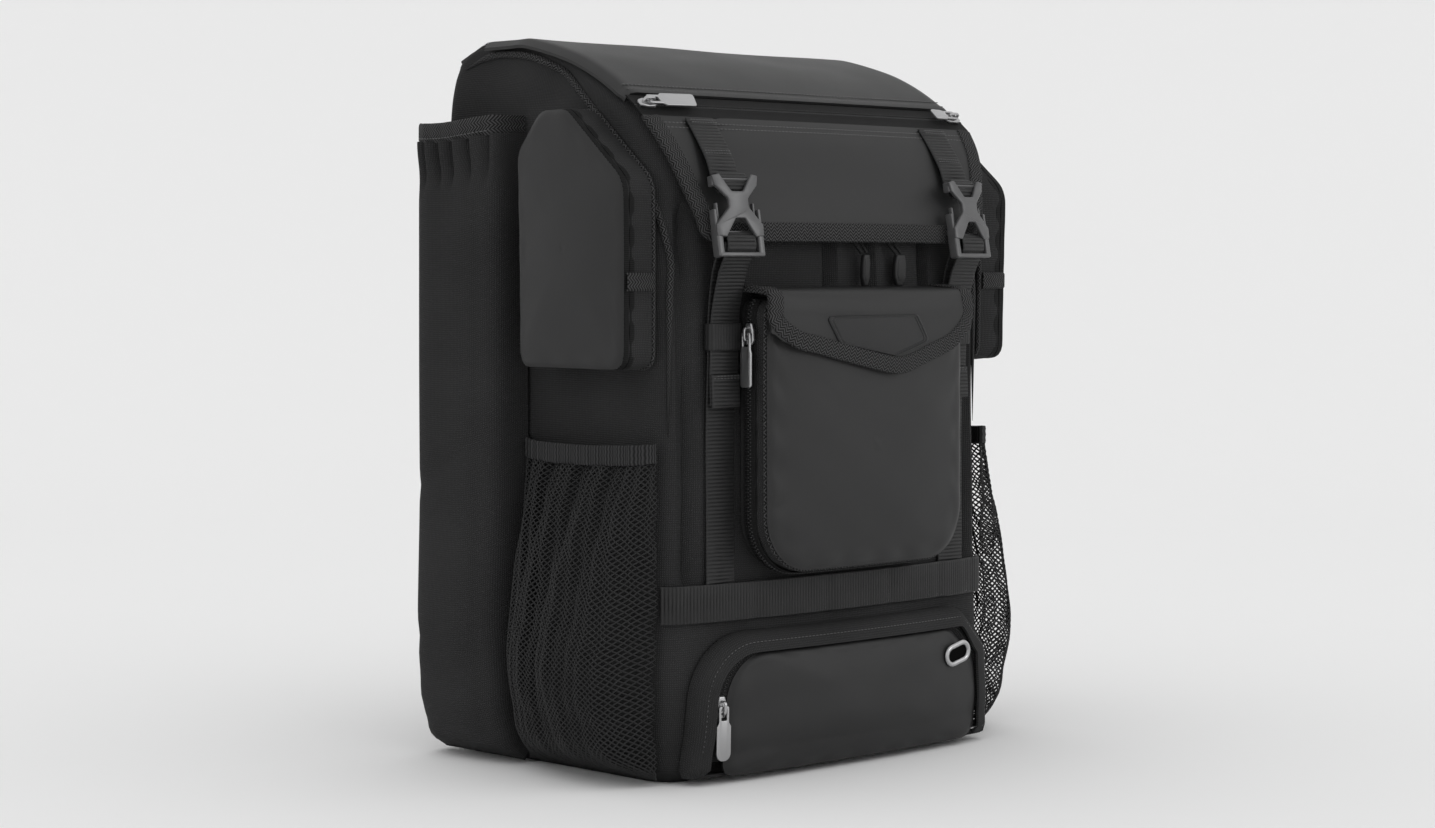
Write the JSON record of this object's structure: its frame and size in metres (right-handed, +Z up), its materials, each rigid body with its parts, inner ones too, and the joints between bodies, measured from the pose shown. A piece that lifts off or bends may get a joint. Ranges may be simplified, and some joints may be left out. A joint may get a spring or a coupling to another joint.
{
  "type": "baseball bat backpack",
  "caption": "Upright sports backpack with a buckled flap, front, lower and side pockets, net pockets and open bat sleeves on both sides.",
  "frame": {"origin": "centre of the plan of the bag, without its cords, on the surface that it stands on", "axes": "+Z up, the front with the flap and pockets faces -Y, the harness faces +Y, +X is to the right when the front is seen"},
  "size_m": [0.43, 0.3396, 0.5073],
  "materials": {
    "woven_fabric": "matt woven polyester",
    "coated_fabric": "smooth matt coating",
    "webbing": "ribbed",
    "zip_tape": "woven tape with moulded teeth",
    "net": "knitted net",
    "padding": "padded woven polyester",
    "buckle_plastic": "satin grey",
    "black_plastic": "moulded",
    "metal": "satin",
    "rubber": "matt"
  },
  "bodies": {
    "bag": {"back_panel": "padding", "bat_sleeve_left": "woven_fabric", "bat_sleeve_right": "woven_fabric", "buckle_prong_left": "buckle_plastic", "buckle_prong_right": "buckle_plastic", "buckle_socket_left": "buckle_plastic", "buckle_socket_right": "buckle_plastic", "cord_end_left": "rubber", "cord_end_right": "rubber", "cord_left": "webbing", "cord_right": "webbing", "flap_binding": "webbing", "flap_panel": "coated_fabric", "flap_strap_left": "webbing", "flap_strap_right": "webbing", "front_band": "webbing", "front_pocket_face": "coated_fabric", "front_pocket_gusset": "woven_fabric", "front_pocket_slider": "metal", "front_pocket_zip": "zip_tape", "front_strap_left": "webbing", "front_strap_right": "webbing", "haul_loop": "webbing", "lid_left_slider": "metal", "lid_panel": "coated_fabric", "lid_right_slider": "metal", "lid_zip": "zip_tape", "lower_pocket_face": "coated_fabric", "lower_pocket_gusset": "woven_fabric", "lower_pocket_slider": "metal", "lower_pocket_zip": "zip_tape", "main_body": "woven_fabric", "net_binding_left": "webbing", "net_binding_right": "webbing", "net_pocket_left": "net", "net_pocket_right": "net", "oval_eyelet": "metal", "pocket_flap": "coated_fabric", "pocket_flap_binding": "webbing", "pocket_patch": "rubber", "rear_slider": "metal", "shoulder_strap_left": "padding", "shoulder_strap_right": "padding", "side_pocket_face_left": "coated_fabric", "side_pocket_face_right": "coated_fabric", "side_pocket_gusset_left": "woven_fabric", "side_pocket_gusset_right": "woven_fabric", "sleeve_binding_left": "webbing", "sleeve_binding_right": "webbing", "strap_adjuster_left": "black_plastic", "strap_adjuster_right": "black_plastic", "strap_keeper_left": "webbing", "strap_keeper_right": "webbing", "strap_webbing_left": "webbing", "strap_webbing_right": "webbing"},
    "lid_left_pull": {"lid_left_pull": "metal"},
    "lid_right_pull": {"lid_right_pull": "metal"},
    "front_pocket_pull": {"front_pocket_pull": "metal"},
    "lower_pocket_pull": {"lower_pocket_pull": "metal"},
    "rear_pull": {"rear_pull": "rubber"}
  },
  "joints": [
    {"name": "lid_left_pull_hinge", "type": "hinge", "parent": "bag", "child": "lid_left_pull", "pos_m": [-0.15261, -0.09847, 0.45772], "axis": [0, -0.733, -0.6802], "range_deg": [0, 150]},
    {"name": "lid_right_pull_hinge", "type": "hinge", "parent": "bag", "child": "lid_right_pull", "pos_m": [0.15261, -0.09847, 0.45772], "axis": [0, 0.733, 0.6802], "range_deg": [0, 150]},
    {"name": "front_pocket_pull_hinge", "type": "hinge", "parent": "bag", "child": "front_pocket_pull", "pos_m": [-0.106, -0.14303, 0.30118], "axis": [0, 1, 0], "range_deg": [0, 150]},
    {"name": "lower_pocket_pull_hinge", "type": "hinge", "parent": "bag", "child": "lower_pocket_pull", "pos_m": [-0.12748, -0.14385, 0.05188], "axis": [-0.9958, 0.0919, 0], "range_deg": [0, 150]},
    {"name": "rear_pull_hinge", "type": "hinge", "parent": "bag", "child": "rear_pull", "pos_m": [-0.13644, 0.09067, 0.50321], "axis": [1, 0, 0], "range_deg": [0, 150]}
  ]
}
